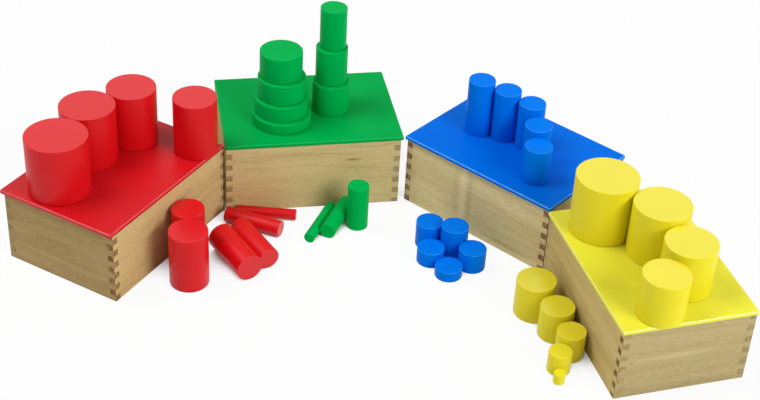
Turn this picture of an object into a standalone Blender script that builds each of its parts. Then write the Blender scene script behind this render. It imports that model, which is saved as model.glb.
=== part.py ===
"""Models four sets of ten plain wooden cylinders with their four finger-jointed boxes.

Lengths are in metres and angles in degrees. +Z is up, +X runs to the right and +Y away from the viewer.
The cylinders of a set are numbered from 1, the smallest, to 10, the largest. Some stand or are stacked on
the lid of their closed box, and the others stand or lie on the ground in front of it. All of them are loose.
A heading is measured from +X, and a bearing from the heading of the box that the cylinder belongs to.
"""
import math

import bmesh
import bpy
from mathutils import Vector

# Cylinder sizes
CYLINDERS_IN_A_SET = 10
SMALLEST_SIZE = 0.010
SIZE_STEP = 0.005
SLIM_DIAMETER = 0.025
CYLINDER_EDGE = 0.0008
CYLINDER_EDGE_SEGMENTS = 1
FACET_SAG = 0.00012

# Box sizes
BOX_LENGTH = 0.1637
BOX_WIDTH = 0.1175
WALL_THICKNESS = 0.006
FLOOR_THICKNESS = 0.005
HEADROOM = 0.005
JOINT_GAP = 0.0003
CUT_OVERRUN = 0.002

# Lid sizes
LID_THICKNESS = 0.0034
LID_OVERHANG = 0.0015
LID_EDGE = 0.0008
LID_EDGE_SEGMENTS = 2
INNER_BOARD_THICKNESS = 0.004
LID_PLAY = 0.0018

# Edges that turn by more than this angle are rounded, and shaded sharp
SHARP_ANGLE = 40

# Clearances below a piece that rests on another, between sides that touch, and beside a piece that is lifted
SEAT_GAP = 0.0003
SIDE_GAP = 0.0004
LIFT_GAP = 0.0005

# Where the four boxes stand: their headings, and the gaps between the corners of neighbouring lids
HEADINGS = {"red": 62.3, "green": 12.2, "blue": -38.7, "yellow": -72.0}
RED_CORNER_BEHIND_GREEN_CORNER = 0.0043
BLUE_CORNER_OFF_GREEN_CORNER = 0.0013
BLUE_CORNER_BEHIND_GREEN_CORNER = 0.0024
YELLOW_CORNER_BEFORE_BLUE_CORNER = 0.0036

# How far each lid sits off its box's middle, along and across it, as shares of its play
LID_SHIFT_SHARES = {"red": (-0.8, 0.7), "green": (0.7, 1.0), "blue": (0.1, -0.8), "yellow": (0.3, -0.3)}

# Finger joints: the height of a finger, and that of the lowest one, which was cut short on two boxes. The end
# walls have the even rows, counted from 0 at the ground, and the long walls the odd ones. A last row lower than
# this share of a finger is left out, and the one below it reaches the top.
FINGER_HEIGHT = 0.006
LOWEST_FINGERS = {"red": 0.006, "green": 0.0046, "blue": 0.006, "yellow": 0.004}
LEAST_ROW_SHARE = 0.2
END_WALL_ROWS = 0
LONG_WALL_ROWS = 1

# Red set on its lid: 10, 9 and 8 in a row along its far side, 7 reaching over the edge at the near right
RED_10_FROM_END = 0.0035
RED_10_FROM_FAR_SIDE = 0.0142
RED_ROW_BEARINGS = {9: 9.4, 8: -15.5, 7: -72.7}
RED_7_GAP = 0.0172

# Red set on the ground: 5 and 6 stand by the box, 1 to 4 lie where the red and the green box meet
RED_5_FROM_END = 0.0790
RED_6_BEARING = -143.5
RED_LYING_HEADINGS = {1: -1.6, 2: -19.4, 3: -55.0}
RED_1_END_FROM_END = 0.0105
RED_2_END_BEHIND_SHARE = 0.33
RED_3_END_ALONG_SHARE = 0.38
RED_4_END_AHEAD_SHARE = 0.25

# Green set on its lid: two stacks, whose upper pieces slip by shares of the size step
LEFT_STACK = (10, 9, 8, 7)
LEFT_STACK_SHARES = (-0.1589, -0.1547)
LEFT_SLIP_SHARES = {9: (-0.06, 0.5), 8: (0.1, 0.4), 7: (-0.08, 0.5)}
RIGHT_STACK = (6, 5, 4)
RIGHT_STACK_BEARING = 19.4
RIGHT_STACK_GAP = 0.0067
RIGHT_SLIP_SHARES = {5: (0.05, 0.5), 4: (0.19, 0.33)}

# Green set on the ground: 3 stands, 2 and 1 lie beside each other to its left
GREEN_LYING_HEADING = -108.1
GREEN_2_END_FROM_END = 0.1136
GREEN_2_OFF_LID = 0.0040
GREEN_3_ALONG_SHARE = 0.39
GREEN_1_END_AHEAD_SHARE = 0.165

# Blue set: 10 to 6 in a bent row on the lid, 5 to 1 in a cluster on the ground
BLUE_10_SHARES = (-0.249, -0.0298)
BLUE_ROW_BEARINGS = {9: 22.0, 8: 10.1, 7: -42.3, 6: -52.8}
BLUE_7_GAP = 0.0047
BLUE_6_GAP = 0.0015
BLUE_5_FROM_END = 0.0788
BLUE_5_OFF_LID = 0.0172
BLUE_4_BEARING = -167.6
BLUE_3_BEARING = -10.4
BLUE_2_BEARING = -107.0
BLUE_1_BEARING = -106.7

# Yellow set: 10 to 7 on the lid, 6 to 1 in a bent row on the ground, 2 hidden behind 6
YELLOW_10_FROM_END = 0.0050
YELLOW_10_FROM_NEAR_SIDE = 0.0079
YELLOW_ROW_BEARINGS = {9: 38.5, 8: 5.2, 7: -50.0}
YELLOW_7_GAP = 0.0023
YELLOW_4_FROM_END = 0.0627
YELLOW_5_BEARING = -175.0
YELLOW_6_BEARING = -166.6
YELLOW_3_BEARING = -43.9
YELLOW_1_BEARING = -20.1
YELLOW_2_BEARING = 154.8

# Colours, as linear red, green and blue, with roughness
PAINTS = {
    "red": (0.72, 0.03, 0.045),
    "green": (0.002, 0.37, 0.07),
    "blue": (0.002, 0.15, 0.79),
    "yellow": (0.88, 0.80, 0.07),
}
PAINT_ROUGHNESS = 0.32
BEECH = (0.45, 0.36, 0.18)
PLYWOOD = (0.55, 0.44, 0.26)
BARE_WOOD_ROUGHNESS = 0.6

# Sizes that follow from the ones above
LARGEST_SIZE = SMALLEST_SIZE + (CYLINDERS_IN_A_SET - 1) * SIZE_STEP
BOX_HEIGHT = FLOOR_THICKNESS + LARGEST_SIZE + HEADROOM + INNER_BOARD_THICKNESS
INNER_LENGTH = BOX_LENGTH - 2 * WALL_THICKNESS
INNER_WIDTH = BOX_WIDTH - 2 * WALL_THICKNESS
INNER_BOARD_CLEARANCE = LID_PLAY + SEAT_GAP
LID_LENGTH = BOX_LENGTH + 2 * LID_OVERHANG
LID_WIDTH = BOX_WIDTH + 2 * LID_OVERHANG
LID_BOTTOM = BOX_HEIGHT + SEAT_GAP
LID_TOP = LID_BOTTOM + LID_THICKNESS


def size_of(number):
    """Returns the size that cylinder number of a set has in the direction in which the set grows."""
    return SMALLEST_SIZE + (number - 1) * SIZE_STEP


def diameter_and_height(colour, number):
    """Returns a cylinder's diameter and height: each set grows in its own way."""
    size = size_of(number)
    if colour == "red":
        return size, LARGEST_SIZE
    if colour == "green":
        return size, size_of(CYLINDERS_IN_A_SET + 1 - number)
    if colour == "blue":
        return SLIM_DIAMETER, size
    return size, size


def radius_of(colour, number):
    """Returns a cylinder's radius."""
    return diameter_and_height(colour, number)[0] / 2


def length_of(colour, number):
    """Returns a cylinder's height, which is its length when it lies."""
    return diameter_and_height(colour, number)[1]


def direction(heading):
    """Returns the unit vector on the ground that points along a heading, in degrees from +X."""
    angle = math.radians(heading)
    return Vector((math.cos(angle), math.sin(angle)))


def left_of(heading):
    """Returns the unit vector on the ground that points to the left of a heading."""
    return direction(heading + 90)


class Box:
    """A box's place on the ground, given by the place of one corner of its lid."""

    def __init__(self, colour, end=0, side=0, corner=Vector((0, 0))):
        """Sets the lid's corner, at an end and a side of -1 or 1, on the given place."""
        self.colour = colour
        self.heading = HEADINGS[colour]
        self.along = direction(self.heading)
        self.across = left_of(self.heading)
        along_share, across_share = LID_SHIFT_SHARES[colour]
        shift = self.along * along_share * LID_PLAY + self.across * across_share * LID_PLAY
        corner_offset = self.along * end * LID_LENGTH / 2 + self.across * side * LID_WIDTH / 2
        self.lid_centre = corner - corner_offset
        self.centre = self.lid_centre - shift

    def lid_point(self, along, across):
        """Returns the place at these distances along and across the lid from its middle."""
        return self.lid_centre + self.along * along + self.across * across

    def lid_share_point(self, shares):
        """Returns the place at these shares of the lid's length and width from its middle."""
        return self.lid_point(shares[0] * LID_LENGTH, shares[1] * LID_WIDTH)

    def lid_corner(self, end, side):
        """Returns the place of one of the lid's corners."""
        return self.lid_point(end * LID_LENGTH / 2, side * LID_WIDTH / 2)

    def before(self, end, from_end, off_lid):
        """Returns the place before the near side, that far from one end of the lid and off its near edge."""
        return self.lid_point(end * (LID_LENGTH / 2 - from_end), -LID_WIDTH / 2 - off_lid)


class Cylinder:
    """A cylinder's place on the ground or on a lid, the height of its base, and its heading where it lies."""

    def __init__(self, colour, number, place, base=0.0, heading=None):
        self.colour = colour
        self.number = number
        self.place = place
        self.base = base
        self.heading = heading
        self.diameter, self.height = diameter_and_height(colour, number)
        self.radius = self.diameter / 2

    def name(self):
        """Returns the node's name."""
        return f"{self.colour}_cylinder_{self.number:02d}"

    def far_end(self):
        """Returns the place of the rear end of a cylinder that lies."""
        return self.place - direction(self.heading) * self.height / 2


def stand_beside(neighbour, number, bearing, gap=SIDE_GAP):
    """Stands the next cylinder of a set at a bearing from its neighbour, with a gap between their sides."""
    radius = radius_of(neighbour.colour, number)
    distance = neighbour.radius + gap + radius
    place = neighbour.place + direction(bearing) * distance
    return Cylinder(neighbour.colour, number, place, neighbour.base)


def lay_from_end(colour, number, far_end, heading):
    """Lays a cylinder on the ground with its rear end at a place."""
    place = far_end + direction(heading) * length_of(colour, number) / 2
    return Cylinder(colour, number, place, 0.0, heading)


def lying_distance(first_radius, second_radius):
    """Returns how far apart on the ground the axes of two cylinders are that lie side by side."""
    reach = first_radius + SIDE_GAP + second_radius
    rise = first_radius - second_radius
    return math.sqrt(reach * reach - rise * rise)


def end_reach(radius, heading, across_heading):
    """Returns how far the round end of a lying cylinder reaches sideways to another heading."""
    return radius * abs(direction(heading).dot(direction(across_heading)))


def add_row(row, box, bearings, gaps):
    """Adds cylinders to a row on a lid, each at a bearing from the last, measured from the box's heading."""
    for number, bearing in bearings.items():
        row.append(stand_beside(row[-1], number, box.heading + bearing, gaps.get(number, SIDE_GAP)))


def arrange_red(box):
    """Places the red cylinders, which all have one height."""
    radius = radius_of("red", 10)
    along = -LID_LENGTH / 2 + RED_10_FROM_END + radius
    across = LID_WIDTH / 2 - RED_10_FROM_FAR_SIDE - radius
    row = [Cylinder("red", 10, box.lid_point(along, across), LID_TOP + SEAT_GAP)]
    add_row(row, box, RED_ROW_BEARINGS, {7: RED_7_GAP})
    fifth = Cylinder("red", 5, box.before(1, RED_5_FROM_END, LIFT_GAP + radius_of("red", 5)))
    return row + [fifth, stand_beside(fifth, 6, box.heading + RED_6_BEARING)]


def arrange_lying_red(green_box):
    """Lays the four thinnest red cylinders before the green box, each against the one behind it."""
    radii = {number: radius_of("red", number) for number in (1, 2, 3, 4)}
    heading = RED_LYING_HEADINGS[1]
    reach = end_reach(radii[1], heading, green_box.heading)
    end = green_box.before(-1, RED_1_END_FROM_END, LIFT_GAP + reach)
    first = lay_from_end("red", 1, end, heading)
    heading = RED_LYING_HEADINGS[2]
    distance = radii[2] + SIDE_GAP + end_reach(radii[1], first.heading, heading)
    behind = RED_2_END_BEHIND_SHARE * 2 * radii[2]
    end = first.far_end() - left_of(heading) * distance - direction(heading) * behind
    second = lay_from_end("red", 2, end, heading)
    along = RED_3_END_ALONG_SHARE * length_of("red", 2)
    distance = radii[2] + SIDE_GAP + end_reach(radii[3], RED_LYING_HEADINGS[3], heading)
    end = second.far_end() + direction(heading) * along - left_of(heading) * distance
    heading = RED_LYING_HEADINGS[3]
    third = lay_from_end("red", 3, end, heading)
    ahead = RED_4_END_AHEAD_SHARE * 2 * radii[4]
    distance = lying_distance(radii[3], radii[4])
    end = third.far_end() + direction(heading) * ahead - left_of(heading) * distance
    return [first, second, third, lay_from_end("red", 4, end, heading)]


def stack(box, numbers, place, slip_shares):
    """Stacks green cylinders on the lid, each a little off the middle of the one below."""
    base = LID_TOP + SEAT_GAP
    pieces = []
    for number in numbers:
        along_share, across_share = slip_shares.get(number, (0, 0))
        place = place + box.along * along_share * SIZE_STEP + box.across * across_share * SIZE_STEP
        pieces.append(Cylinder("green", number, place, base))
        base += pieces[-1].height + SEAT_GAP
    return pieces


def arrange_green(box):
    """Places the green cylinders, which grow flatter as they grow wider."""
    pieces = stack(box, LEFT_STACK, box.lid_share_point(LEFT_STACK_SHARES), LEFT_SLIP_SHARES)
    bearing = box.heading + RIGHT_STACK_BEARING
    right = stand_beside(pieces[0], RIGHT_STACK[0], bearing, RIGHT_STACK_GAP)
    pieces += stack(box, RIGHT_STACK, right.place, RIGHT_SLIP_SHARES)
    heading = GREEN_LYING_HEADING
    reach = end_reach(radius_of("green", 2), heading, box.heading)
    end = box.before(-1, GREEN_2_END_FROM_END, GREEN_2_OFF_LID + reach)
    second = lay_from_end("green", 2, end, heading)
    along = GREEN_3_ALONG_SHARE * second.height
    distance = second.radius + SIDE_GAP + radius_of("green", 3)
    third = second.far_end() + direction(heading) * along + left_of(heading) * distance
    ahead = GREEN_1_END_AHEAD_SHARE * second.height
    distance = lying_distance(second.radius, radius_of("green", 1))
    end = second.far_end() + direction(heading) * ahead - left_of(heading) * distance
    return pieces + [Cylinder("green", 3, third), second, lay_from_end("green", 1, end, heading)]


def arrange_blue(box):
    """Places the blue cylinders, which all have one diameter."""
    pieces = [Cylinder("blue", 10, box.lid_share_point(BLUE_10_SHARES), LID_TOP + SEAT_GAP)]
    add_row(pieces, box, BLUE_ROW_BEARINGS, {7: BLUE_7_GAP, 6: BLUE_6_GAP})
    fifth = Cylinder("blue", 5, box.before(1, BLUE_5_FROM_END, BLUE_5_OFF_LID + SLIM_DIAMETER / 2))
    third = stand_beside(fifth, 3, box.heading + BLUE_3_BEARING)
    pieces += [fifth, stand_beside(fifth, 4, box.heading + BLUE_4_BEARING), third]
    pieces.append(stand_beside(fifth, 2, box.heading + BLUE_2_BEARING))
    pieces.append(stand_beside(third, 1, box.heading + BLUE_1_BEARING, LIFT_GAP))
    return pieces


def arrange_yellow(box):
    """Places the yellow cylinders, which grow in height and diameter together."""
    radius = radius_of("yellow", 10)
    along = -LID_LENGTH / 2 + YELLOW_10_FROM_END + radius
    across = -LID_WIDTH / 2 + YELLOW_10_FROM_NEAR_SIDE + radius
    pieces = [Cylinder("yellow", 10, box.lid_point(along, across), LID_TOP + SEAT_GAP)]
    add_row(pieces, box, YELLOW_ROW_BEARINGS, {7: YELLOW_7_GAP})
    fourth = Cylinder("yellow", 4, box.before(1, YELLOW_4_FROM_END, LIFT_GAP + radius_of("yellow", 4)))
    fifth = stand_beside(fourth, 5, box.heading + YELLOW_5_BEARING)
    sixth = stand_beside(fifth, 6, box.heading + YELLOW_6_BEARING)
    third = stand_beside(fourth, 3, box.heading + YELLOW_3_BEARING)
    pieces += [fourth, fifth, sixth, third, stand_beside(third, 1, box.heading + YELLOW_1_BEARING)]
    pieces.append(stand_beside(sixth, 2, box.heading + YELLOW_2_BEARING, LIFT_GAP))
    return pieces


def arrange_boxes():
    """Stands the boxes in an arc, each lid's corner near a corner of the lid to its left or right."""
    green = Box("green")
    corner = green.lid_corner(-1, -1) - green.along * LIFT_GAP + green.across * RED_CORNER_BEHIND_GREEN_CORNER
    red = Box("red", 1, -1, corner)
    off = green.along * BLUE_CORNER_OFF_GREEN_CORNER + green.across * BLUE_CORNER_BEHIND_GREEN_CORNER
    blue = Box("blue", -1, -1, green.lid_corner(1, -1) + off)
    off = blue.along * LIFT_GAP - blue.across * YELLOW_CORNER_BEFORE_BLUE_CORNER
    yellow = Box("yellow", -1, -1, blue.lid_corner(1, -1) + off)
    return {"red": red, "green": green, "blue": blue, "yellow": yellow}


def make_material(name, colour, roughness):
    """Returns a plain material with a colour and a roughness."""
    material = bpy.data.materials.new(name)
    material.use_nodes = True
    shader = material.node_tree.nodes["Principled BSDF"]
    shader.inputs["Base Color"].default_value = (*colour, 1)
    shader.inputs["Roughness"].default_value = roughness
    shader.inputs["Metallic"].default_value = 0
    material.diffuse_color = (*colour, 1)
    return material


def add_object(name, mesh_source, collection, parent=None, material=None):
    """Makes an object from a bmesh and puts it in a collection, under a parent."""
    mesh = bpy.data.meshes.new(name)
    mesh_source.to_mesh(mesh)
    mesh_source.free()
    thing = bpy.data.objects.new(name, mesh)
    collection.objects.link(thing)
    thing.parent = parent
    if material:
        mesh.materials.append(material)
    return thing


def add_empty(name, collection, parent=None):
    """Makes an empty that places what is parented to it."""
    empty = bpy.data.objects.new(name, None)
    collection.objects.link(empty)
    empty.parent = parent
    return empty


def add_blocks(mesh, blocks):
    """Adds one cuboid to a bmesh for each pair of a middle and a size."""
    for middle, size in blocks:
        made = bmesh.ops.create_cube(mesh, size=1)
        bmesh.ops.scale(mesh, vec=size, verts=made["verts"])
        bmesh.ops.translate(mesh, vec=middle, verts=made["verts"])


def blocks_object(name, blocks, collection, parent, material=None):
    """Makes an object of one or more cuboids that don't touch."""
    mesh = bmesh.new()
    add_blocks(mesh, blocks)
    return add_object(name, mesh, collection, parent, material)


def add_bevel(thing, width, segments):
    """Rounds the object's sharp edges."""
    bevel = thing.modifiers.new("edges", "BEVEL")
    bevel.width = width
    bevel.segments = segments
    bevel.limit_method = "ANGLE"
    bevel.angle_limit = math.radians(SHARP_ANGLE)


def add_boolean(thing, operation, cutter):
    """Cuts the shape of a cutter out of an object, or joins it to the object."""
    boolean = thing.modifiers.new(operation.lower(), "BOOLEAN")
    boolean.operation = operation
    boolean.solver = "EXACT"
    boolean.object = cutter
    cutter.hide_render = True
    cutter.display_type = "WIRE"


def finger_levels(colour):
    """Returns the levels that bound a box's rows of fingers, from its lower to its upper edge."""
    lowest = LOWEST_FINGERS[colour]
    rows = math.ceil((BOX_HEIGHT - lowest) / FINGER_HEIGHT - LEAST_ROW_SHARE)
    return [0.0] + [lowest + row * FINGER_HEIGHT for row in range(rows)] + [BOX_HEIGHT]


def finger_slots(colour, kept_rows, reach, across):
    """Returns the cuboids that cut a pair of walls wherever the other pair has its fingers.

    The walls keep the even rows where kept_rows is 0, and the odd ones where it is 1. They end at a reach from
    the box's middle, and a cuboid spans the box's size across, so that it cuts both walls of the pair.
    """
    levels = finger_levels(colour)
    depth = WALL_THICKNESS + JOINT_GAP + CUT_OVERRUN
    slots = []
    for row, (bottom, top) in enumerate(zip(levels, levels[1:])):
        if row % 2 == kept_rows:
            continue
        bottom -= JOINT_GAP / 2 if bottom > 0 else CUT_OVERRUN
        top += JOINT_GAP / 2 if top < BOX_HEIGHT else CUT_OVERRUN
        for end in (-1, 1):
            middle = end * (reach + CUT_OVERRUN - depth / 2)
            slots.append((middle, across + 2 * CUT_OVERRUN, (top + bottom) / 2, depth, top - bottom))
    return slots


def build_sides(box, collection, cutters, parent, material):
    """Builds the box's two long walls, with slots for the ends' fingers, and the floor that joins them."""
    side_size = (BOX_LENGTH, WALL_THICKNESS, BOX_HEIGHT)
    side_middle = (BOX_WIDTH - WALL_THICKNESS) / 2
    sides = [((0, side * side_middle, BOX_HEIGHT / 2), side_size) for side in (-1, 1)]
    slots = [((middle, 0, level), (depth, span, height)) for middle, span, level, depth, height
             in finger_slots(box.colour, LONG_WALL_ROWS, BOX_LENGTH / 2, BOX_WIDTH)]
    floor_size = (INNER_LENGTH - 2 * JOINT_GAP, INNER_WIDTH + WALL_THICKNESS, FLOOR_THICKNESS)
    floor = [((0, 0, FLOOR_THICKNESS / 2), floor_size)]
    walls = blocks_object(f"{box.colour}_box_sides_and_floor", sides, collection, parent, material)
    add_boolean(walls, "DIFFERENCE", blocks_object(f"{box.colour}_side_slots", slots, cutters, parent))
    add_boolean(walls, "UNION", blocks_object(f"{box.colour}_floor", floor, cutters, parent))


def build_ends(box, collection, cutters, parent, material):
    """Builds the box's two end walls, with slots for the long walls' fingers."""
    slots = [((0, middle, level), (span, depth, height)) for middle, span, level, depth, height
             in finger_slots(box.colour, END_WALL_ROWS, BOX_WIDTH / 2, BOX_LENGTH)]
    cutter = blocks_object(f"{box.colour}_end_slots", slots, cutters, parent)
    for name, end in (("left", -1), ("right", 1)):
        middle = (end * (BOX_LENGTH - WALL_THICKNESS) / 2, 0, BOX_HEIGHT / 2)
        block = (middle, (WALL_THICKNESS, BOX_WIDTH, BOX_HEIGHT))
        wall = blocks_object(f"{box.colour}_box_{name}_end", [block], collection, parent, material)
        add_boolean(wall, "DIFFERENCE", cutter)


def build_box(box, collection, cutters, root, beech, plywood, paint):
    """Builds a closed box: its walls and floor, and its lid of two boards."""
    frame = add_empty(f"{box.colour}_box_place", collection, root)
    frame.location = (*box.centre, 0)
    frame.rotation_euler.z = math.radians(box.heading)
    build_sides(box, collection, cutters, frame, beech)
    build_ends(box, collection, cutters, frame, beech)
    lid = add_empty(f"{box.colour}_lid_place", collection, root)
    lid.location = (*box.lid_centre, LID_BOTTOM)
    lid.rotation_euler.z = frame.rotation_euler.z
    block = ((0, 0, LID_THICKNESS / 2), (LID_LENGTH, LID_WIDTH, LID_THICKNESS))
    board = blocks_object(f"{box.colour}_lid_board", [block], collection, lid, paint)
    add_bevel(board, LID_EDGE, LID_EDGE_SEGMENTS)
    clearance = 2 * INNER_BOARD_CLEARANCE
    board_size = (INNER_LENGTH - clearance, INNER_WIDTH - clearance, INNER_BOARD_THICKNESS)
    block = ((0, 0, -SEAT_GAP - INNER_BOARD_THICKNESS / 2), board_size)
    blocks_object(f"{box.colour}_lid_inner_board", [block], collection, lid, plywood)


def facet_count(radius):
    """Returns a multiple of 4 facets, enough to keep a circle's flats within the sag of the true curve."""
    quarter = math.pi / math.acos(1 - FACET_SAG / radius) / 4
    return 4 * math.ceil(quarter)


def build_cylinder(cylinder, collection, root, paint):
    """Builds one cylinder, with its edges broken, and stands or lays it in its place."""
    mesh = bmesh.new()
    bmesh.ops.create_cone(mesh, cap_ends=True, segments=facet_count(cylinder.radius), radius1=cylinder.radius,
                          radius2=cylinder.radius, depth=cylinder.height)
    thing = add_object(cylinder.name(), mesh, collection, root, paint)
    add_bevel(thing, CYLINDER_EDGE, CYLINDER_EDGE_SEGMENTS)
    thing.data.shade_smooth()
    thing.data.set_sharp_from_angle(angle=math.radians(SHARP_ANGLE))
    if cylinder.heading is None:
        thing.location = (*cylinder.place, cylinder.base + cylinder.height / 2)
    else:
        thing.location = (*cylinder.place, cylinder.radius)
        thing.rotation_euler = (0, math.radians(90), math.radians(cylinder.heading))


def bring_to_origin(root, collection):
    """Moves the whole set so that the middle of its base is at the origin."""
    bpy.context.view_layer.update()
    graph = bpy.context.evaluated_depsgraph_get()
    corners = []
    for thing in collection.objects:
        if thing.type == "MESH":
            shape = thing.evaluated_get(graph)
            corners += [shape.matrix_world @ vertex.co for vertex in shape.data.vertices]
    for axis in (0, 1):
        values = [corner[axis] for corner in corners]
        root.location[axis] = -(min(values) + max(values)) / 2


def main():
    """Clears the scene and builds the four boxes and their forty cylinders."""
    for thing in list(bpy.data.objects):
        bpy.data.objects.remove(thing)
    collection = bpy.data.collections.new("knobless_cylinder_sets")
    cutters = bpy.data.collections.new("cutters")
    bpy.context.scene.collection.children.link(collection)
    bpy.context.scene.collection.children.link(cutters)
    root = add_empty("middle_of_the_sets", collection)
    beech = make_material("beech", BEECH, BARE_WOOD_ROUGHNESS)
    plywood = make_material("plywood", PLYWOOD, BARE_WOOD_ROUGHNESS)
    paints = {name: make_material(f"{name}_paint", value, PAINT_ROUGHNESS) for name, value in PAINTS.items()}
    boxes = arrange_boxes()
    for colour, box in boxes.items():
        build_box(box, collection, cutters, root, beech, plywood, paints[colour])
    cylinders = arrange_red(boxes["red"]) + arrange_lying_red(boxes["green"]) + arrange_green(boxes["green"])
    cylinders += arrange_blue(boxes["blue"]) + arrange_yellow(boxes["yellow"])
    for cylinder in cylinders:
        build_cylinder(cylinder, collection, root, paints[cylinder.colour])
    bring_to_origin(root, collection)


main()
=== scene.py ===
# %% [markdown]
# # Four boxed sets of wooden cylinders
#
# The toy is four wooden boxes and forty painted cylinders without knobs, ten to a colour. Red cylinders grow
# in diameter, blue ones in height, yellow ones in both, and green ones grow wider as they grow flatter.
# Everything is loose, so every cylinder, lid and box is a body of its own.
#
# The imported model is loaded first. Each piece made here takes its place and size from it.

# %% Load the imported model
import math

import bpy
import numpy as np
from mathutils import Matrix, Vector


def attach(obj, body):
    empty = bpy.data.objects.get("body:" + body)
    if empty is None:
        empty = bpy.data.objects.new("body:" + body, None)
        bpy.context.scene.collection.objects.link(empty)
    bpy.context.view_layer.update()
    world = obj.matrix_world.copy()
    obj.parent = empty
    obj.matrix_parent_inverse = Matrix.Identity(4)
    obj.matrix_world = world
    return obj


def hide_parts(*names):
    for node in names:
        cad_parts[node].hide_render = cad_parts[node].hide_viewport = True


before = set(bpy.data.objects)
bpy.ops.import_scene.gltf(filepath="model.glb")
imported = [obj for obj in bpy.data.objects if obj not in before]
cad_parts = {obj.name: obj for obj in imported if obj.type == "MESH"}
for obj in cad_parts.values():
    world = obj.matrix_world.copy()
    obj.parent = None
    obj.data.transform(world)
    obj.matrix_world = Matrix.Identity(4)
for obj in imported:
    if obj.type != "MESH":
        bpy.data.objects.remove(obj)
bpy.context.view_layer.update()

# %% [markdown]
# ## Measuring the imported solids
#
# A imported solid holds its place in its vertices. Measured along three ways at right angles, these give the
# middle and the size of a turned box as well as of an upright one. The middles of a box's two end walls give
# the way along the box. Seen from above, the vertices of an upright cylinder spread alike in every way, and
# those of a cylinder that lies spread most along it.

# %% Measure middles, sizes and ways
COLOURS = ("red", "green", "blue", "yellow")
SET_SIZE = 10
UP = np.array((0.0, 0.0, 1.0))
UPRIGHT = np.eye(3)
MOST_ROUND_SPREAD = 1.5


def node_points(node):
    """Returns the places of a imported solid's vertices, one to a row."""
    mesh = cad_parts[node].data
    flat = np.empty(3 * len(mesh.vertices))
    mesh.vertices.foreach_get("co", flat)
    return flat.reshape(-1, 3)


def measure(node, ways):
    """Returns a solid's middle, and its size along each row of ways, which are unit vectors."""
    reach = node_points(node) @ ways.T
    low, high = reach.min(axis=0), reach.max(axis=0)
    return (low + high) / 2 @ ways, high - low


def box_ways(colour):
    """Returns the ways along a box, across it and up, from the middles of its end walls."""
    left, _ = measure(f"{colour}_box_left_end", UPRIGHT)
    right, _ = measure(f"{colour}_box_right_end", UPRIGHT)
    along = (right - left) / np.linalg.norm(right - left)
    return np.array((along, np.cross(UP, along), UP))


def cylinder_ways(node):
    """Returns two ways across a cylinder and the way along it: up, or that of most spread where it lies."""
    spreads, directions = np.linalg.eigh(np.cov(node_points(node)[:, :2].T))
    if spreads[1] < MOST_ROUND_SPREAD * spreads[0]:
        return UPRIGHT
    along = np.array((*directions[:, 1], 0.0))
    return np.array((np.cross(UP, along), UP, along))


boxes = {colour: box_ways(colour) for colour in COLOURS}
for colour, ways in boxes.items():
    print(colour, "box points along", ways[0].round(3))

# %% [markdown]
# ## One surface for every piece
#
# Each piece of this toy is a flat outline given a thickness, with its edges rounded: a circle for a cylinder,
# a rectangle for a lid, a rectangle with notches for a wall. So one function makes them all. It carries the
# rounded section round the outline, and closes the two ends with flat faces. A bevel would do as well on a
# box, but not as evenly on the many corners of a finger joint.

# %% Carry a rounded section round an outline
ARC_STEPS = 5
SMOOTH_BELOW = 35
PLAIN = (1.0, 1.0, 1.0)
PLAIN_END = 0.6


def inward(outline):
    """Returns how each corner moves when all sides move in by 1: both normals' sum over 1 plus their dot."""
    side = np.roll(outline, -1, axis=0) - outline
    normal = np.stack((side[:, 1], -side[:, 0]), axis=1)
    normal /= np.linalg.norm(normal, axis=1, keepdims=True)
    before = np.roll(normal, 1, axis=0)
    return -(normal + before) / (1 + np.sum(normal * before, axis=1, keepdims=True))


def section(thickness, lower_edge, upper_edge):
    """Returns each ring's inset, height, and strength of edge wear and painted highlight: a straight side
    with a quarter circle at each end.
    """
    angle = np.linspace(0, math.pi / 2, ARC_STEPS + 1)
    inset = 1 - np.sin(angle)
    rise = 1 - np.cos(angle)
    wear_and_highlight = np.sin(2 * angle)
    insets = np.concatenate((lower_edge * inset, upper_edge * inset[::-1]))
    heights = np.concatenate((lower_edge * rise, thickness - upper_edge * rise[::-1]))
    return insets, heights, np.concatenate((wear_and_highlight, wear_and_highlight[::-1]))


def rounded_solid(name, outline, thickness, edges, middle, ways, fibres, number,
                  end_depth=PLAIN_END, tone=PLAIN, polish_and_highlight=1.0):
    """Makes a closed solid from an outline and a thickness.

    A point is the middle plus its outline's two coordinates and its height, each along its own way. The other
    values are for the finish: which of the three ways the fibres run, the part of the tree, how dark the end
    grain is, the piece's own tone, which on some boards and lids is partly painted light and shade, and how
    strong the polish and painted highlight on its edges are.
    """
    insets, heights, wear_and_highlight = section(thickness, *edges)
    flat = outline + insets[:, None, None] * inward(outline)
    height = np.broadcast_to(heights[:, None, None] - thickness / 2, (*flat.shape[:2], 1))
    local = np.concatenate((flat, height), axis=2)
    rings, sides = local.shape[:2]
    index = np.arange(rings * sides).reshape(rings, sides)
    ahead = np.roll(index, -1, axis=1)
    quads = np.stack((index[:-1], ahead[:-1], ahead[1:], index[1:]), axis=-1).reshape(-1, 4)
    mesh = bpy.data.meshes.new(name)
    points = middle + local.reshape(-1, 3) @ ways
    mesh.from_pydata(points.tolist(), [], quads.tolist() + [index[0, ::-1].tolist(), index[-1].tolist()])
    mesh.shade_smooth()
    mesh.set_sharp_from_angle(angle=math.radians(SMOOTH_BELOW))
    mesh.polygons[-1].use_smooth = False
    mesh.polygons[-2].use_smooth = False
    keep_attributes(mesh, local, outline, polish_and_highlight * wear_and_highlight, fibres, number, end_depth, tone)
    piece = bpy.data.objects.new(name, mesh)
    bpy.context.scene.collection.objects.link(piece)
    return piece
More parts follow.
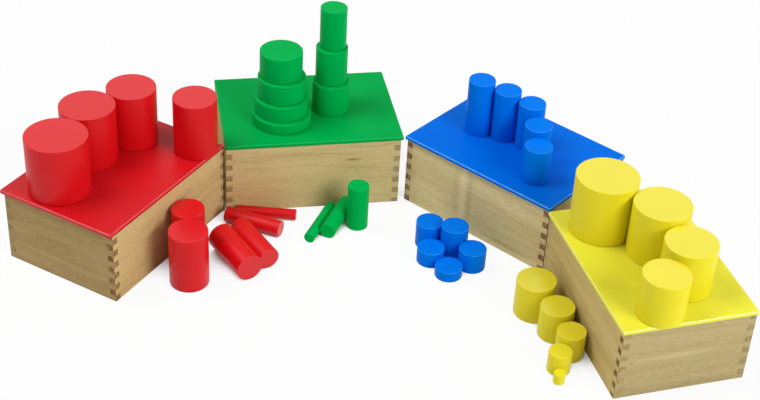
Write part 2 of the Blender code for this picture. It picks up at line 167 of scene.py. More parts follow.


# %% [markdown]
# ## What the wood pattern reads
#
# Beech looks different along the fibres, across them and on its ends. Object coordinates don't turn with a
# board, so each piece keeps its own coordinates in an attribute, fibres first. An offset that differs from
# piece to piece cuts every board from another part of the tree. How dark the end grain is differs from board
# to board too, and so does the colour, so a depth is kept on the end faces and a tone on the whole piece. On
# some boards and lids that tone is partly painted light and shade.

# %% Keep what the finishes read
PIECE_OFFSET = np.array((0.37, 0.113, 0.071))
FIBRES_ALONG_LENGTH = 0
FIBRES_ALONG_HEIGHT = 2


def keep_attributes(mesh, local, outline, wear_and_highlight, fibres, number, end_depth, tone):
    """Stores what the finishes read on a mesh made of rings and two ends.

    At the points, grain is the place along and across the fibres plus the offset times the part of the tree,
    edge is the strength of edge wear, polish and painted highlight, most halfway round an edge, and tone is
    what the finish's colour is multiplied by, which on some boards and lids is partly painted light and
    shade. On the faces, end is the end depth where they cut across the fibres and 0 elsewhere.
    """
    rings, sides = local.shape[:2]
    grain = np.roll(local, -fibres, axis=2).reshape(-1, 3) + number * PIECE_OFFSET
    mesh.attributes.new("grain", "FLOAT_VECTOR", "POINT").data.foreach_set("vector", grain.ravel())
    mesh.attributes.new("edge", "FLOAT", "POINT").data.foreach_set("value", np.repeat(wear_and_highlight, sides))
    side = np.roll(outline, -1, axis=0) - outline
    across = np.abs(side[:, 1]) > np.abs(side[:, 0])
    on_sides = across if fibres == FIBRES_ALONG_LENGTH else np.zeros(sides, bool)
    on_ends = fibres == FIBRES_ALONG_HEIGHT
    end = end_depth * np.concatenate((np.tile(on_sides, rings - 1), (on_ends, on_ends)))
    mesh.attributes.new("end", "FLOAT", "FACE").data.foreach_set("value", end)
    tones = np.tile(tone, rings * sides)
    mesh.attributes.new("tone", "FLOAT_VECTOR", "POINT").data.foreach_set("vector", tones)


# %% [markdown]
# ## Cylinders
#
# The cylinders are turned from beech, their edges broken with fine paper, and painted. Their outline is a
# circle, and their fibres run along the axis, as they do in a turned piece. With 128 sides the outline stays
# round in a close view, and the rounded edge catches the thin line of light that shows on every rim, with a
# painted highlight along it that is fainter here than on the lids.

# %% Make the forty cylinders
CIRCLE_SIDES = 128
RIM_ROUNDING = 0.0005
# How strong the rims' polish and painted highlight are, against the lids' edges.
RIM_POLISH_AND_HIGHLIGHT = 0.4
TURNED_END = 1.0


def circle(diameter):
    """Returns points evenly round a circle, anticlockwise."""
    angle = np.linspace(0, 2 * math.pi, CIRCLE_SIDES, endpoint=False)
    return diameter / 2 * np.stack((np.cos(angle), np.sin(angle)), axis=1)


def make_cylinder(node, number):
    """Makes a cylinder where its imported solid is, and returns it."""
    ways = cylinder_ways(node)
    middle, (_, diameter, length) = measure(node, ways)
    edges = (RIM_ROUNDING, RIM_ROUNDING)
    return rounded_solid(f"{node}_turned", circle(diameter), length, edges, middle, ways,
                         FIBRES_ALONG_HEIGHT, number, TURNED_END, polish_and_highlight=RIM_POLISH_AND_HIGHLIGHT)


pieces = []
for colour_number, colour in enumerate(COLOURS):
    for number in range(1, SET_SIZE + 1):
        node = f"{colour}_cylinder_{number:02d}"
        piece = make_cylinder(node, SET_SIZE * colour_number + number)
        pieces.append((piece, node, node, f"{colour}_paint"))
print(len(pieces), "cylinders, the largest", measure("yellow_cylinder_10", UPRIGHT)[1].round(4))

# %% [markdown]
# ## Box walls with finger joints
#
# A finger joint is cut with a stack of saw blades, so its fingers are all 6 mm high. The rows are counted
# from the ground: the end walls keep the even ones and the long walls the odd ones, and the lowest and the
# top row are what is left of a finger where the board was cut to its height. Each wall is its own board: its
# outline is a rectangle whose two ends step in and out row by row. The fibres run along the wall, so the end
# grain of its fingers shows on the face of the other wall as a column of darker patches.

# %% Make the outline of a wall
FINGER_HEIGHT = 0.006
LOWEST_FINGER = {"red": 0.006, "green": 0.0046, "blue": 0.006, "yellow": 0.004}
LEAST_ROW_SHARE = 0.2
END_WALL_ROWS = 0
LONG_WALL_ROWS = 1
FINGER_GAP = 0.00006


def finger_levels(colour, height):
    """Returns the heights between a box's finger rows, from the ground to the top of its walls."""
    lowest = LOWEST_FINGER[colour]
    steps = math.ceil((height - lowest) / FINGER_HEIGHT - LEAST_ROW_SHARE)
    return np.concatenate(((0.0,), lowest + FINGER_HEIGHT * np.arange(steps), (height,)))


def finger_outline(length, levels, kept_rows, depth):
    """Returns a wall's outline, anticlockwise from its lower right corner.

    Row r lies between levels r and r + 1. Where r is even or odd as kept_rows is, the row reaches half the
    length and is half a gap smaller at each joint, and the other rows step in by the depth.
    """
    kept = np.arange(len(levels) - 1) % 2 == kept_rows
    reach = np.where(kept, length / 2, length / 2 - depth)
    joint = levels[1:-1] + np.where(kept[:-1], -FINGER_GAP, FINGER_GAP) / 2
    heights = np.concatenate((levels[:1], np.repeat(joint, 2), levels[-1:]))
    right = np.stack((np.repeat(reach, 2), heights - levels[-1] / 2), axis=1)
    return np.concatenate((right, right[::-1] * (-1, 1)))


def box_size(colour):
    """Returns a box's middle, its length, width and height, and how thick its walls are."""
    middle, size = measure(f"{colour}_box_sides_and_floor", boxes[colour])
    _, (wall, _, _) = measure(f"{colour}_box_left_end", boxes[colour])
    return middle, size, wall


_, (_, _, green_height), _ = box_size("green")
print("finger rows of the green box, in mm:", (1000 * finger_levels("green", green_height)).round(1))

# %% [markdown]
# The walls come from different boards, so their colours differ. Each wall has a number for its part of the
# tree and a depth for its end grain. Most also have a tone, by which the beech's red, green and blue are
# multiplied. The tones are partly painted light and shade: they make each seen face lighter or darker as the
# light falls on it, such as the bright front of the blue box and the darker near end of the red one.

# %% Make the walls of the four boxes
WALL_ROUNDING = 0.00008
WALL_NUMBERS = {"near_side": 49, "far_side": 51, "left_end": 52, "right_end": 54}
NUMBERS_TO_A_BOX = 7
END_DEPTHS = {
    "red": {"near_side": 1.0, "far_side": 0.6, "left_end": 0.75, "right_end": 1.0},
    "green": {"near_side": 0.6, "far_side": 0.6, "left_end": 0.6, "right_end": 0.5},
    "blue": {"near_side": 0.7, "far_side": 0.6, "left_end": 1.0, "right_end": 1.0},
    "yellow": {"near_side": 0.6, "far_side": 0.55, "left_end": 0.12, "right_end": 0.9},
}
# Partly painted light and shade: each tone also makes a seen face lighter or darker as the light falls on it.
BOARD_TONES_AND_PAINTED_LIGHT = {
    ("red", "near_side"): (1.10, 0.99, 0.86),
    ("red", "left_end"): (0.88, 0.78, 0.68),
    ("red", "right_end"): (1.35, 1.4, 1.3),
    ("green", "near_side"): (1.22, 1.23, 1.12),
    ("green", "left_end"): (1.12, 1.04, 0.94),
    ("green", "right_end"): (1.05, 1.05, 1.1),
    ("blue", "near_side"): (1.45, 1.52, 1.50),
    ("blue", "left_end"): (1.35, 1.42, 1.4),
    ("blue", "right_end"): (1.2, 1.2, 1.15),
    ("yellow", "near_side"): (1.15, 1.11, 0.90),
    ("yellow", "right_end"): (0.89, 0.90, 0.84),
}


def board_number(colour, name):
    """Returns the number of the part of the tree that a wall is cut from."""
    return WALL_NUMBERS[name] + NUMBERS_TO_A_BOX * COLOURS.index(colour)


def make_wall(colour, name, size, middle, run, kept_rows):
    """Makes a wall of a length, height and thickness, whose length points along run."""
    length, height, thickness = size
    outline = finger_outline(length, finger_levels(colour, height), kept_rows, thickness + FINGER_GAP)
    ways = np.array((run, UP, np.cross(run, UP)))
    edges = (WALL_ROUNDING, WALL_ROUNDING)
    return rounded_solid(f"{colour}_{name}", outline, thickness, edges, middle, ways,
                         FIBRES_ALONG_LENGTH, board_number(colour, name), END_DEPTHS[colour][name],
                         BOARD_TONES_AND_PAINTED_LIGHT.get((colour, name), PLAIN))


for colour, (along, across, _) in boxes.items():
    middle, (length, width, height), wall = box_size(colour)
    sides_node = f"{colour}_box_sides_and_floor"
    for side, name in ((-1, "near_side"), (1, "far_side")):
        place = middle + side * (width - wall) / 2 * across
        piece = make_wall(colour, name, (length, height, wall), place, along, LONG_WALL_ROWS)
        pieces.append((piece, f"{colour}_box", sides_node, "beech"))
    for side, name in ((-1, "left_end"), (1, "right_end")):
        place = middle + side * (length - wall) / 2 * along
        piece = make_wall(colour, name, (width, height, wall), place, across, END_WALL_ROWS)
        pieces.append((piece, f"{colour}_box", f"{colour}_box_{name}", "beech"))
print("box", (1000 * np.array((length, width, height))).round(1), "mm, walls", round(1000 * wall, 1), "mm")

# %% [markdown]
# ## Lids and floors
#
# A lid is two thin boards: a painted one that covers the walls and overhangs them a little, and a smaller
# bare one below it that drops between the walls. The painted board's upper edge is rounded by hand; the
# rounding, its clear coat and the paint's painted highlight give the bright line along the front of every
# lid. Each lid's colour is also multiplied by a tone of its own, which is partly painted light: it makes most
# lids darker than the same paint on the cylinders, and the yellow one paler, as a painted sheen. The floor is
# a thin board between the walls.

# %% Make the lids and the floors
CORNER_STEPS = 6
LID_CORNER = 0.0013
LID_EDGES = (0.0004, 0.0012)
PANEL_CORNER = 0.0008
PANEL_EDGES = (0.0003, 0.0003)
FLOOR_THICKNESS = 0.005
FLOOR_GAP = 0.0002
FIRST_PANEL_NUMBER = 80
PANELS_TO_A_BOX = 3
# Partly painted light: these tones make most lids darker than the cylinders' paint, and raise the yellow
# one's blue for a painted sheen.
LID_TONES_AND_PAINTED_LIGHT = {
    "red": (0.87, 1.2, 1.2),
    "green": (0.9, 0.9, 0.9),
    "blue": (1.0, 0.82, 0.9),
    "yellow": (0.99, 1.07, 2.3),
}


def rounded_rectangle(length, width, corner):
    """Returns a rectangle's outline, anticlockwise, each corner a quarter circle about its own centre."""
    angle = np.linspace(0, math.pi / 2, CORNER_STEPS + 1)
    quarter = corner * np.stack((np.cos(angle), np.sin(angle)), axis=1)
    centre = np.array((length / 2 - corner, width / 2 - corner))
    turns = ((1, 1, 1), (-1, 1, -1), (-1, -1, 1), (1, -1, -1))
    parts = [((quarter + centre) * (x, y))[::order] for x, y, order in turns]
    return np.concatenate(parts)


def make_panel(name, node, ways, corner, edges, number, tone=PLAIN):
    """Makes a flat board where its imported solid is."""
    middle, (length, width, thickness) = measure(node, ways)
    outline = rounded_rectangle(length, width, corner)
    return rounded_solid(name, outline, thickness, edges, middle, ways,
                         FIBRES_ALONG_LENGTH, number, tone=tone)


def make_floor(colour, number):
    """Makes a box's floor, which lies on the ground between the walls."""
    middle, (length, width, height), wall = box_size(colour)
    inset = 2 * (wall + FLOOR_GAP)
    outline = rounded_rectangle(length - inset, width - inset, PANEL_CORNER)
    place = middle - (height - FLOOR_THICKNESS) / 2 * UP
    return rounded_solid(f"{colour}_floor", outline, FLOOR_THICKNESS, PANEL_EDGES, place, boxes[colour],
                         FIBRES_ALONG_LENGTH, number)


panel_number = FIRST_PANEL_NUMBER
for colour, ways in boxes.items():
    board, tone = f"{colour}_lid_board", LID_TONES_AND_PAINTED_LIGHT[colour]
    piece = make_panel(f"{colour}_lid_top", board, ways, LID_CORNER, LID_EDGES, panel_number, tone)
    pieces.append((piece, f"{colour}_lid", board, f"{colour}_paint"))
    board = f"{colour}_lid_inner_board"
    piece = make_panel(f"{colour}_lid_under", board, ways, PANEL_CORNER, PANEL_EDGES, panel_number + 1)
    pieces.append((piece, f"{colour}_lid", board, "plywood"))
    piece = make_floor(colour, panel_number + 2)
    pieces.append((piece, f"{colour}_box", f"{colour}_box_sides_and_floor", "plywood"))
    panel_number += PANELS_TO_A_BOX
print(len(pieces), "pieces in all")

# %% [markdown]
# ## Writing a finish as an expression
#
# A finish is a tree of nodes, but it is easier to read as sums. A small class wraps a socket, so that
# `1 - mask * 0.5` adds the Math nodes that it names.

# %% Wrap sockets for arithmetic
class Value:
    """A number or vector that changes over the surface, wrapped so that sums on it add Math nodes."""

    def __init__(self, finish, socket):
        self.finish = finish
        self.socket = socket

    def math(self, operation, *others):
        """Adds one Math node with this value and the others as its inputs."""
        return self.finish.node("ShaderNodeMath", {"operation": operation}, dict(enumerate((self, *others))))

    def __add__(self, other):
        return self.math("ADD", other)

    def __mul__(self, other):
        return self.math("MULTIPLY", other)

    def __sub__(self, other):
        return self.math("SUBTRACT", other)

    def __rsub__(self, other):
        return self.finish.node("ShaderNodeMath", {"operation": "SUBTRACT"}, {0: other, 1: self})

    __radd__ = __add__
    __rmul__ = __mul__

    def band(self, low, high):
        """Returns 0 below low, 1 above high and a smooth slope between them."""
        settings = {"interpolation_type": "SMOOTHSTEP"}
        inputs = {"Value": self, "From Min": low, "From Max": high}
        return self.finish.node("ShaderNodeMapRange", settings, inputs)


# %% [markdown]
# Any other node comes from one method, which takes its type, its settings, and the values or links of its
# inputs. The rest are short names for what the finishes below use more than once.

# %% Add nodes to a finish
class Finish:
    """A node tree being written, a material's or the sky's, with its shader and the ways to add to them."""

    def __init__(self, owner, shader="Principled BSDF"):
        owner.use_nodes = True
        self.owner = owner
        self.tree = owner.node_tree
        self.shader = self.tree.nodes[shader]

    def node(self, kind, settings, inputs, output=0):
        """Adds a node, sets its settings, links or sets its inputs, and returns one output."""
        node = self.tree.nodes.new(kind)
        for key, value in settings.items():
            setattr(node, key, value)
        for key, value in inputs.items():
            self.feed(node.inputs[key], value)
        return Value(self, node.outputs[output])

    def feed(self, socket, value):
        """Links a wrapped value to a socket, or sets a plain one on it."""
        if isinstance(value, Value):
            self.tree.links.new(value.socket, socket)
        else:
            socket.default_value = value

    def give(self, **inputs):
        """Links or sets the shader's own inputs, whose names are written here with underscores."""
        for name, value in inputs.items():
            self.feed(self.shader.inputs[name.replace("_", " ")], value)

    def attribute(self, name, output):
        """Returns an attribute of the mesh, as its Vector or its Fac."""
        return self.node("ShaderNodeAttribute", {"attribute_name": name}, {}, output)

    def noise(self, place, cells, detail=2.0, distortion=0.0):
        """Returns soft noise from 0 to 1, with so many cells to a metre, all ways alike."""
        inputs = {"Vector": place, "Scale": cells, "Detail": detail, "Distortion": distortion}
        return self.node("ShaderNodeTexNoise", {}, inputs)

    def drawn_noise(self, place, cells, detail=2.0, distortion=0.0):
        """Returns soft noise whose cells to a metre differ along and across the fibres."""
        stretched = self.node("ShaderNodeMapping", {}, {"Vector": place, "Scale": cells})
        return self.noise(stretched, 1.0, detail, distortion)

    def reach(self, place, centre, size):
        """Returns how far a place is from a centre, where 1 is the size along each way."""
        away = self.node("ShaderNodeVectorMath", {"operation": "SUBTRACT"}, {0: place, 1: centre})
        scaled = self.node("ShaderNodeVectorMath", {"operation": "DIVIDE"}, {0: away, 1: size})
        return self.node("ShaderNodeVectorMath", {"operation": "LENGTH"}, {0: scaled}, 1)

    def toned(self, colour):
        """Returns a colour times the piece's own tone, which on some boards and lids is partly painted light
        and shade.
        """
        tone = self.attribute("tone", "Vector")
        return self.node("ShaderNodeVectorMath", {"operation": "MULTIPLY"}, {0: colour, 1: tone})

    def mix(self, factor, first, second):
        """Returns a colour between two colours."""
        settings = {"data_type": "RGBA", "clamp_factor": True}
        return self.node("ShaderNodeMix", settings, {0: factor, 6: first, 7: second}, 2)

    def stained(self, colour, layers):
        """Returns a colour with stains laid over it, each where its mask is and as strong as it says."""
        for mask, strength, stain in layers:
            colour = self.mix(mask * strength, colour, stain)
        return colour

    def finished(self, colour, roughness, height, depth, **others):
        """Gives the shader its colour, roughness, bump and other inputs, and returns the material."""
        bump = self.node("ShaderNodeBump", {}, {"Height": height, "Distance": depth, "Strength": 1.0})
        self.give(Base_Color=colour, Roughness=roughness, Normal=bump, **others)
        return self.owner


def rgb(red, green, blue):
    """Returns a colour with full alpha, from linear red, green and blue."""
    return (red, green, blue, 1.0)


# %% [markdown]
# ## Paint
#
# The cylinders and lids have two sprayed coats of paint: smooth, with a soft gloss. Close up, three things
# show: the orange peel of the spray, the beech's fibres below the paint, and edges that sanding between the
# coats and handling have thinned and polished. A clear coat on the edges gives them a real gloss, and each
# paint also has a paler colour for its edges, which is a painted highlight; together they give the bright
# line along the lids' front edges and on the rims of the stacked cylinders.
# Green and blue are deep colours with hardly any white in them, so their own gloss is low and takes the
# paint's colour. The end grain of the red and yellow cylinders was filled and rubbed down before the last
# coat, so their flat ends have the clear coat too and gleam more than their sides.

# %% Write the four paints
PAINTS = {
    "red": {
        "colour": rgb(0.66, 0.004, 0.008), "gloss": 0.24, "end_gloss": 0.42,
        "edge_highlight_colour": rgb(0.72, 0.06, 0.08), "edge_shine": 0.5,
    },
    "green": {
        "colour": rgb(0.0, 0.41, 0.075), "gloss": 0.03, "end_gloss": 0.0,
        "edge_highlight_colour": rgb(0.015, 0.48, 0.12), "edge_shine": 0.12,
    },
    "blue": {
        "colour": rgb(0.0, 0.180, 0.80), "gloss": 0.04, "end_gloss": 0.0,
        "edge_highlight_colour": rgb(0.09, 0.52, 1.0), "edge_shine": 0.45,
    },
    "yellow": {
        "colour": rgb(0.80, 0.70, 0.018), "gloss": 0.16, "end_gloss": 0.98,
        "edge_highlight_colour": rgb(0.88, 0.83, 0.14), "edge_shine": 0.2,
    },
}
# The edges take the paler colour up to this share: a painted highlight.
EDGE_HIGHLIGHT_COVER = 0.8
LEAST_POLISH_AND_HIGHLIGHT = 0.7
TINT_FLOOR = 0.02
TINTED_BELOW = 0.1
CLOUD_DARKNESS = 0.97
CLOUD_CELLS = 30
CLOUD_BAND = (0.3, 0.7)
WEAR_CELLS = 160
WEAR_BAND = (0.35, 0.65)
PEEL_CELLS = 700
PEEL_SHARE = 0.6
FIBRE_CELLS = (30, 900, 900)
PAINT_DEPTH = 0.00001
PAINT_ROUGHNESS = 0.34
CLOUD_ROUGHNESS = 0.05
PEEL_ROUGHNESS = 0.04
RIM_ROUGHNESS = 0.16


def gloss_tint(colour, gloss):
    """Returns the gloss's own colour: white, or for a low gloss the paint's with its strongest part at 1."""
    if gloss > TINTED_BELOW:
        return rgb(1, 1, 1)
    return rgb(*(TINT_FLOOR + (1 - TINT_FLOOR) * part / max(colour[:3]) for part in colour[:3]))


def paint(name, colour, gloss, end_gloss, edge_highlight_colour, edge_shine):
    """Returns a paint: a colour with faint clouds, a painted highlight and a clear coat on its edges, a coat
    on its ends, and a bump of peel and fibres.
    """
    finish = Finish(bpy.data.materials.new(name))
    place = finish.attribute("grain", "Vector")
    edge = finish.attribute("edge", "Fac")
    end = finish.attribute("end", "Fac")
    peel = finish.noise(place, PEEL_CELLS)
    fibre = finish.drawn_noise(place, FIBRE_CELLS)
    cloud = finish.noise(place, CLOUD_CELLS, detail=3.0)
    wear_and_highlight = finish.noise(place, WEAR_CELLS).band(*WEAR_BAND)
    polish_and_highlight = edge * (LEAST_POLISH_AND_HIGHLIGHT + (1 - LEAST_POLISH_AND_HIGHLIGHT) * wear_and_highlight)
    darker = rgb(*(CLOUD_DARKNESS * part for part in colour[:3]))
    body = finish.mix(cloud.band(*CLOUD_BAND), darker, colour)
    # The paler edge colour laid on here is a painted highlight; the coat below gives the edges their real
    # gloss.
    surface = finish.toned(finish.mix(polish_and_highlight * EDGE_HIGHLIGHT_COVER, body, edge_highlight_colour))
    roughness = PAINT_ROUGHNESS + CLOUD_ROUGHNESS * cloud + PEEL_ROUGHNESS * peel
    height = peel * PEEL_SHARE + fibre * (1 - PEEL_SHARE)
    clear = (polish_and_highlight * edge_shine).math("MAXIMUM", end * end_gloss)
    return finish.finished(surface, roughness, height, PAINT_DEPTH, Specular_IOR_Level=gloss,
                           Specular_Tint=gloss_tint(colour, gloss),
                           Coat_Weight=clear, Coat_Roughness=RIM_ROUGHNESS)


materials = {f"{name}_paint": paint(f"{name}_paint", **values) for name, values in PAINTS.items()}
print("paints:", ", ".join(materials))

# %% [markdown]
# ## Beech
#
# Plain-sawn beech is pale tan with a fine, even grain. Wide soft bands follow the growth rings, thin brown
# lines run between them, and short flecks, some darker and some lighter, mark its rays. On end grain the same
# rings show as a few dark bars on a browner ground, because the open ends of the fibres drink the oil. The
# wood is matt, so it has no gloss at all. The boards come from different trees, so each one multiplies these
# colours by its own tone, which on some faces is also painted light and shade.
#
# Each pattern is a noise with its own number of cells to a metre, few along the fibres and many across them.
# A band of its values, from the first at which it starts to show to the one at which it is full, makes the
# mask that a stain is laid through.

# %% Choose the beech's colours and patterns
BEECH_LIGHT = rgb(0.57, 0.46, 0.245)
BEECH_DEEP = rgb(0.47, 0.365, 0.18)
BEECH_LINE = rgb(0.30, 0.20, 0.085)
BEECH_PALE = rgb(0.68, 0.58, 0.36)
TWIG_BROWN = rgb(0.17, 0.12, 0.05)
BEECH_WARM = rgb(0.52, 0.34, 0.16)
END_LIGHT = rgb(0.33, 0.225, 0.11)
END_DARK = rgb(0.17, 0.10, 0.045)
BANDS = {"cells": (6, 70, 70), "detail": 3.0, "distortion": 0.8}
STREAKS = {"cells": (40, 1100, 1100), "detail": 3.0}
FLECKS = {"cells": (260, 1900, 1900), "detail": 1.0}
FLECK_BAND = (0.60, 0.74)
DASHES = {"cells": (190, 850, 850), "detail": 1.0}
DASH_BAND = (0.54, 0.74)
END_BARS = {"cells": (1, 160, 650)}
END_BAR_BAND = (0.42, 0.58)
DRIFT = {"cells": (5, 14, 14), "distortion": 0.4}
RING_WIDTH = 0.009
RING_DRIFT = 7.0
RING_BAND = (0.80, 1.0)
RINGS_WHERE_DARK = (0.40, 0.62)
EDGE_STAIN = 0.04
BEECH_DEPTH = 0.00004
BEECH_ROUGHNESS = 0.5


def saw_peaks(value):
    """Returns 1 at each whole number and 0 halfway between two, from a value that grows over the surface."""
    return (value.math("FRACT") * 2.0 - 1.0).math("ABSOLUTE")


# %% [markdown]
# Some boards have marks of their own, and one has painted shade and light. On the front of the green box a
# small dark streak shows where a twig grew, two long faint ones run along the board, and below them on the
# left a warmer patch shows where the growth rings come to the surface in arcs. On the front of the blue box
# two faint upright dark bands with a pale one between them are painted shade and light where cylinders stand
# before it, and a dark streak runs near the ground. The near end of the yellow box has a pale band. A mark is
# an oval with a soft edge, and the arcs are ovals one inside the other.

# %% Write the marks of single boards and the painted shade on one
# Each mark, the painted shade and light among them, has its box, wall, place along and up from the wall's
# middle, half size, colour and strength.
MARKS_AND_PAINTED_SHADE = (
    ("green", "near_side", (0.0368, 0.0168), (0.011, 0.0020), TWIG_BROWN, 0.7),
    ("green", "near_side", (-0.062, -0.016), (0.042, 0.026), BEECH_WARM, 0.4),
    ("green", "near_side", (-0.020, 0.0250), (0.060, 0.0017), BEECH_LINE, 0.3),
    ("green", "near_side", (-0.058, 0.0125), (0.020, 0.0015), BEECH_LINE, 0.35),
    # Painted shade and light on the blue box's front: two dark upright bands with a pale one between them.
    ("blue", "near_side", (-0.006, 0.0), (0.0045, 0.06), BEECH_LINE, 0.3),
    ("blue", "near_side", (-0.014, 0.0), (0.006, 0.06), BEECH_PALE, 0.3),
    ("blue", "near_side", (-0.022, 0.0), (0.005, 0.05), BEECH_LINE, 0.18),
    ("blue", "near_side", (0.042, -0.027), (0.036, 0.004), BEECH_LINE, 0.5),
    ("yellow", "right_end", (-0.008, 0.003), (0.055, 0.004), BEECH_PALE, 0.5),
)
MARK_DEPTH = 0.02
MARK_FADE = (0.2, 1.0)
ARC_BOARD = ("green", "near_side")
ARC_MIDDLE = (-0.0607, -0.0369)
ARC_REACH = (0.050, 0.020)
ARC_COUNT = 5
ARC_BAND = (0.7, 1.0)
ARC_FADE = (0.8, 1.15)
ARC_STRENGTH = 0.4


def from_mark(finish, place, board, middle, size):
    """Returns how far a place is from a mark's middle on one board, where 1 is the mark's half size."""
    centre = np.array((*middle, 0.0)) + board_number(*board) * PIECE_OFFSET
    return finish.reach(place, tuple(centre), (*size, MARK_DEPTH))


def marked_and_shaded(finish, place, face):
    """Returns a face's colour with the marks that single boards have, and the painted shade and light on one.
    """
    for colour, name, middle, size, stain, strength in MARKS_AND_PAINTED_SHADE:
        away = from_mark(finish, place, (colour, name), middle, size)
        face = finish.mix((1 - away.band(*MARK_FADE)) * strength, face, stain)
    away = from_mark(finish, place, ARC_BOARD, ARC_MIDDLE, ARC_REACH)
    arcs = saw_peaks(away * ARC_COUNT).band(*ARC_BAND)
    return finish.mix(arcs * (1 - away.band(*ARC_FADE)) * ARC_STRENGTH, face, BEECH_LINE)


# %% [markdown]
# With the patterns, the marks and the painted shade and light at hand, the finish lays them over the pale
# wood, darkens the end grain, and gives the surface a fine relief, raised along the streaks and sunk a little
# at the flecks and lines.

# %% Write the beech finish
def beech():
    """Returns bare beech: bands, lines and dashes along the fibres, and dark bars on the end grain."""
    finish = Finish(bpy.data.materials.new("beech"))
    place = finish.attribute("grain", "Vector")
    end = finish.attribute("end", "Fac")
    edge = finish.attribute("edge", "Fac")
    bands = finish.drawn_noise(place, **BANDS)
    streaks = finish.drawn_noise(place, **STREAKS)
    flecks = finish.drawn_noise(place, **FLECKS).band(*FLECK_BAND)
    dashes = finish.drawn_noise(place, **DASHES)
    drift = finish.drawn_noise(place, **DRIFT)
    height = finish.node("ShaderNodeSeparateXYZ", {}, {0: place}, 1)
    rings = saw_peaks(height * (1 / RING_WIDTH) + drift * RING_DRIFT)
    lines = rings.band(*RING_BAND) * bands.band(*RINGS_WHERE_DARK)
    layers = (
        (bands.band(0.25, 0.75), 1.0, BEECH_DEEP),
        (streaks.band(0.35, 0.75), 0.4, BEECH_DEEP),
        (lines, 0.34, BEECH_LINE),
        (flecks, 0.3, BEECH_LINE),
        (dashes.band(*DASH_BAND), 0.22, BEECH_LINE),
        ((1 - dashes).band(*DASH_BAND), 0.26, BEECH_PALE),
    )
    face = marked_and_shaded(finish, place, finish.stained(BEECH_LIGHT, layers))
    bars = finish.drawn_noise(place, **END_BARS).band(*END_BAR_BAND)
    colour = finish.mix(end, face, finish.mix(bars, END_LIGHT, END_DARK))
    colour = finish.mix(edge * EDGE_STAIN, colour, BEECH_LINE)
    roughness = BEECH_ROUGHNESS + 0.12 * streaks - 0.05 * edge
    rise = streaks * 0.8 - flecks * 0.5 - lines * 0.2
    return finish.finished(finish.toned(colour), roughness, rise, BEECH_DEPTH, Specular_IOR_Level=0.0)


materials["beech"] = beech()

# %% [markdown]
# ## Plywood
#
# The hidden boards are thin plywood. Their faces are the same beech, peeled and so a little plainer. At their
# edges the fibres of one layer or another run out of the wood, so the edges are darker.

# %% Write the plywood finish
PLY_FACE = rgb(0.60, 0.49, 0.31)
PLY_DEEP = rgb(0.50, 0.39, 0.23)
PLY_CORE = rgb(0.34, 0.24, 0.13)
PLY_WAVES = {"cells": (9, 60, 60), "detail": 3.0, "distortion": 1.2}
PLY_STREAKS = {"cells": (24, 800, 800)}
PLY_DEPTH = 0.00005
PLY_ROUGHNESS = 0.6
PLY_GLOSS = 0.35


def plywood():
    """Returns plywood: peeled beech on the faces, darker at the edges and darkest across the fibres."""
    finish = Finish(bpy.data.materials.new("plywood"))
    place = finish.attribute("grain", "Vector")
    edge = finish.attribute("edge", "Fac")
    end = finish.attribute("end", "Fac")
    waves = finish.drawn_noise(place, **PLY_WAVES)
    streaks = finish.drawn_noise(place, **PLY_STREAKS)
    layers = (
        (waves.band(0.3, 0.7), 1.0, PLY_DEEP),
        (streaks.band(0.5, 0.8), 0.5, PLY_DEEP),
        (end, 0.8, PLY_CORE),
        (edge, 0.2, PLY_CORE),
    )
    roughness = PLY_ROUGHNESS + 0.1 * streaks
    return finish.finished(finish.stained(PLY_FACE, layers), roughness, streaks, PLY_DEPTH,
                           Specular_IOR_Level=PLY_GLOSS)


materials["plywood"] = plywood()
print("woods: beech, plywood")

# %% [markdown]
# ## Riding on the bodies
#
# Every piece moves with the body of the solid that it stands for, takes its finish from that solid's slot,
# and hides the solid.

# %% Finish the pieces and tie them to their bodies
for piece, body, node, slot in pieces:
    piece.data.materials.append(materials[slot])
    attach(piece, body)
    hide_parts(node)
print(len({node for _, _, node, _ in pieces}), "solids are replaced")

# %% [markdown]
# ## Floor
#
# The toy stands on a pale ground that runs off to white. To the camera and in reflections most of that white
# is a plain glow of strength 1, and the rest is a diffuse floor, which keeps the soft shadows. In the narrow
# gaps between pieces the glow fades and the true shade is seen.

# %% Lay the floor
FLOOR_HALF = 6.0
FLOOR_DROP = 0.0001
FLOOR_WHITE = rgb(0.8, 0.8, 0.8)
GLOW_SHARE = 0.92
SHADE_REACH = 0.03
SHADE_SAMPLES = 12
SHADE_BAND = (0.15, 0.42)


def seen(finish):
    """Returns 1 where a camera ray, a reflection or a refraction looks, and 0 for light on its way."""
    path = finish.tree.nodes.new("ShaderNodeLightPath")
    camera, glossy, clear = (Value(finish, path.outputs[f"Is {kind} Ray"])
                             for kind in ("Camera", "Glossy", "Transmission"))
    return camera.math("MAXIMUM", glossy).math("MAXIMUM", clear)


def floor_finish():
    """Returns a diffuse white that glows evenly where it is looked at."""
    finish = Finish(bpy.data.materials.new("pale_floor"))
    finish.give(Base_Color=FLOOR_WHITE, Roughness=1.0, Specular_IOR_Level=0.0)
    glow = finish.node("ShaderNodeEmission", {}, {"Color": rgb(1, 1, 1), "Strength": 1.0})
    diffuse = Value(finish, finish.shader.outputs[0])
    settings = {"samples": SHADE_SAMPLES}
    openness = finish.node("ShaderNodeAmbientOcclusion", settings, {"Distance": SHADE_REACH}, 1)
    share = seen(finish) * GLOW_SHARE * openness.band(*SHADE_BAND)
    mixed = finish.node("ShaderNodeMixShader", {}, {0: share, 1: diffuse, 2: glow})
    finish.feed(finish.tree.nodes["Material Output"].inputs["Surface"], mixed)
    return finish.owner


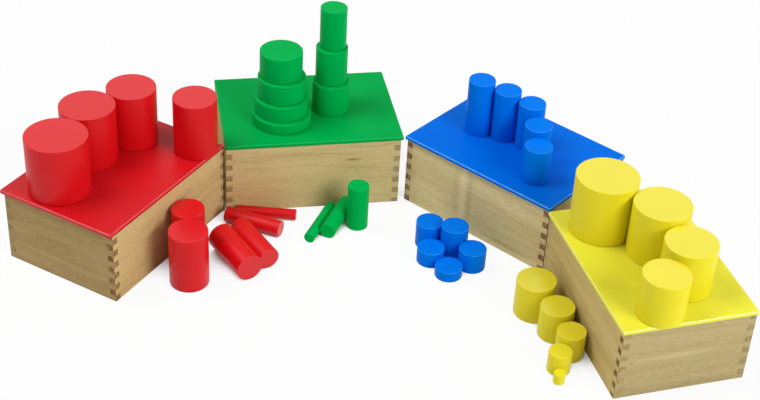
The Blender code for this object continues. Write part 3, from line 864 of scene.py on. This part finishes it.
corners = FLOOR_HALF * np.array(((-1, -1, 0), (1, -1, 0), (1, 1, 0), (-1, 1, 0))) - FLOOR_DROP * UP
floor_mesh = bpy.data.meshes.new("floor")
floor_mesh.from_pydata(corners.tolist(), [], [(0, 1, 2, 3)])
floor_mesh.materials.append(floor_finish())
floor = bpy.data.objects.new("floor", floor_mesh)
bpy.context.scene.collection.objects.link(floor)

# %% [markdown]
# ## Light
#
# The photograph's light is soft, so the lamps are broad. One stands at the front right and one high on the
# left, a weak one lights the back, and the sky fills in the shade. Each lamp has its bearing from the front
# and its angle above the ground in degrees, and its power in watts.

# %% Hang the lamps and the sky
LAMPS = {"key": (49, 33, 34.0), "left": (-90, 60, 32.0), "back": (112, 32, 8.0)}
LAMP_DISTANCE = 2.4
LAMP_SIZE = 1.1
SKY_STRENGTH = 0.3


def hang_lamp(name, bearing, height, power):
    """Hangs a square lamp that looks at the toy."""
    lamp = bpy.data.lights.new(name, "AREA")
    lamp.size = LAMP_SIZE
    lamp.energy = power
    hung = bpy.data.objects.new(name, lamp)
    turn, rise = math.radians(bearing), math.radians(height)
    way = Vector((math.sin(turn) * math.cos(rise), -math.cos(turn) * math.cos(rise), math.sin(rise)))
    hung.location = LAMP_DISTANCE * way
    hung.rotation_euler = (-way).to_track_quat("-Z", "Y").to_euler()
    bpy.context.scene.collection.objects.link(hung)


def paint_sky():
    """Makes the sky white where it is looked at, and a softer light otherwise."""
    world = bpy.data.worlds.new("sky")
    sky = Finish(world, "Background")
    sky.give(Color=rgb(1, 1, 1), Strength=seen(sky) * (1 - SKY_STRENGTH) + SKY_STRENGTH)
    bpy.context.scene.world = world


for name, values in LAMPS.items():
    hang_lamp(name, *values)
paint_sky()

# %% [markdown]
# ## Camera
#
# The picture's geometry was worked out from the known sizes of the cylinders: how long the lens is, how high
# it stands, how far it looks down, and how much it leans. The camera stands there, and its small shift is the
# picture's own off-centre crop.

# %% Stand the camera
PICTURE_WIDTH = 760
FOCAL_PIXELS = 1519.0
OFF_CENTRE_PIXELS = (7.6, -25.8)
CAMERA_PLACE = (0.01322, -1.11502, 0.8457)
LOOKS_DOWN = 34.487
LEANS = 3.503

lens = bpy.data.cameras.new("camera")
lens.lens = lens.sensor_width * FOCAL_PIXELS / PICTURE_WIDTH
lens.shift_x = -OFF_CENTRE_PIXELS[0] / PICTURE_WIDTH
lens.shift_y = OFF_CENTRE_PIXELS[1] / PICTURE_WIDTH
camera = bpy.data.objects.new("camera", lens)
tilt = Matrix.Rotation(math.radians(90 - LOOKS_DOWN), 4, "X")
lean = Matrix.Rotation(math.radians(LEANS), 4, "Z")
camera.matrix_world = Matrix.Translation(CAMERA_PLACE) @ tilt @ lean
bpy.context.scene.collection.objects.link(camera)
bpy.context.scene.camera = camera
bpy.context.scene.view_settings.view_transform = "Standard"
print("lens", round(lens.lens, 2), "mm")
